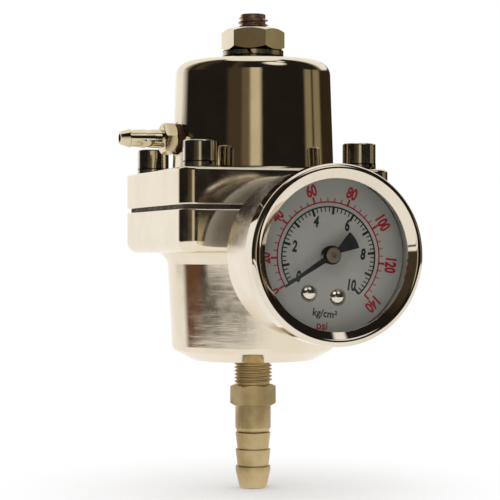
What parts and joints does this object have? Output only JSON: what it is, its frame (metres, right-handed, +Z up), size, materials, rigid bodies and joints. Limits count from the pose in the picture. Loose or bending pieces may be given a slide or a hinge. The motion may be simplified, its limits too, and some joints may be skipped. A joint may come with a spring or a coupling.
{
  "type": "fuel pressure regulator with gauge",
  "caption": "Adjustable diaphragm fuel pressure regulator with a round pressure gauge, barbed return, vacuum nipple and locked adjusting screw.",
  "frame": {"origin": "on the main axis, where the return hose stops against the fitting's hexagon", "axes": "+Z up along the main axis towards the adjusting screw; the gauge faces -Y; the vacuum nipple points along -X; the fuel inlet opens along +X; the bracket holes open along +Y"},
  "size_m": [0.0645, 0.0893, 0.1254],
  "materials": {
    "housing_metal": "polished, warm sheen",
    "screw_metal": "polished",
    "diaphragm_rubber": "matte",
    "pressed_steel": "zinc plated",
    "valve_steel": "ground",
    "spring_steel": "bright drawn",
    "plated_steel": "bright plated",
    "stem_steel": "oiled thread",
    "brass_fitting": "turned, satin",
    "nipple_metal": "bright plated",
    "red_washer": "fibre",
    "gauge_chrome": "polished",
    "gauge_glass": "clear",
    "gasket_rubber": "matte",
    "dial_paint": "matte white with printed scales",
    "pointer_paint": "semi-matte black",
    "hub_brass": "dark",
    "movement_brass": "bright"
  },
  "bodies": {
    "housing": {"lower_housing": "housing_metal", "upper_housing": "housing_metal", "cap_screws": "screw_metal", "cap_screw_washers": "screw_metal", "diaphragm": "diaphragm_rubber", "valve_seat": "movement_brass", "flat_washer": "plated_steel", "return_barb": "brass_fitting", "vacuum_nipple": "nipple_metal", "nipple_seal_washer": "red_washer", "gauge_socket": "brass_fitting", "gauge_case": "gauge_chrome", "case_screws": "screw_metal", "gauge_bezel": "gauge_chrome", "gauge_lens": "gauge_glass", "lens_gasket": "gasket_rubber", "gauge_dial": "dial_paint", "dial_screws": "gauge_chrome", "dial_posts": "movement_brass", "bourdon_tube": "movement_brass", "movement_back_plate": "movement_brass", "movement_front_plate": "movement_brass", "movement_pillars": "movement_brass", "hairspring": "spring_steel"},
    "spring_seat": {"spring_seat": "pressed_steel", "regulator_spring": "spring_steel"},
    "adjusting_screw": {"adjusting_screw": "stem_steel"},
    "spring_washer": {"spring_washer": "plated_steel"},
    "lock_nut": {"lock_nut": "plated_steel"},
    "valve": {"upper_plate": "pressed_steel", "lower_plate": "pressed_steel", "valve_holder": "movement_brass", "valve_ball": "valve_steel", "valve_disc": "valve_steel"},
    "sector": {"sector_gear": "movement_brass", "sector_arbor": "valve_steel"},
    "link": {"link": "movement_brass"},
    "pointer": {"pinion_shaft": "valve_steel", "pointer": "pointer_paint", "pointer_hub": "hub_brass"},
    "tube_tip": {"tube_tip": "movement_brass"}
  },
  "joints": [
    {"name": "adjuster_feed", "type": "slide", "parent": "housing", "child": "spring_seat", "axis": [0, 0, -1], "range_m": [-0.0025, 0.0025], "deforming": ["regulator_spring"]},
    {"name": "adjuster_turn", "type": "hinge", "parent": "spring_seat", "child": "adjusting_screw", "pos_m": [0, 0, 0.094], "axis": [0, 0, -1], "range_deg": [-720, 720]},
    {"name": "washer_lift", "type": "slide", "parent": "housing", "child": "spring_washer", "axis": [0, 0, 1], "range_m": [0, 0.0025]},
    {"name": "nut_turn", "type": "hinge", "parent": "spring_washer", "child": "lock_nut", "pos_m": [0, 0, 0.094], "axis": [0, 0, 1], "range_deg": [0, 720]},
    {"name": "valve_lift", "type": "slide", "parent": "housing", "child": "valve", "axis": [0, 0, 1], "range_m": [0, 0.0008], "stiffness_N_per_m": 500, "springref_m": -0.002, "deforming": ["diaphragm", "regulator_spring"]},
    {"name": "sector_turn", "type": "hinge", "parent": "housing", "child": "sector", "pos_m": [-0.00117, -0.0459, 0.03168], "axis": [0, 1, 0], "range_deg": [-43.33, 0], "stiffness_Nm_per_rad": 0.01, "springref_deg": 2.86, "deforming": ["bourdon_tube", "hairspring"]},
    {"name": "link_turn", "type": "hinge", "parent": "sector", "child": "link", "pos_m": [-0.00161, -0.0459, 0.02851], "axis": [0, 1, 0], "range_deg": [0, 43.33]},
    {"name": "tip_travel", "type": "slide", "parent": "housing", "child": "tube_tip", "axis": [0.9717, 0, 0.2364], "range_m": [0, 0.0024]},
    {"name": "pointer_turn", "type": "hinge", "parent": "housing", "child": "pointer", "pos_m": [0, -0.0459, 0.04], "axis": [0, 1, 0], "range_deg": [0, 260.01]}
  ],
  "couplings": [
    {"joint": "adjuster_turn", "follows": "adjuster_feed", "rad_per_m": 5026.5},
    {"joint": "nut_turn", "follows": "washer_lift", "rad_per_m": 5026.5},
    {"joint": "link_turn", "follows": "sector_turn", "ratio": -1},
    {"joint": "tip_travel", "follows": "sector_turn", "m_per_rad": -0.003124},
    {"joint": "pointer_turn", "follows": "sector_turn", "ratio": -6}
  ]
}
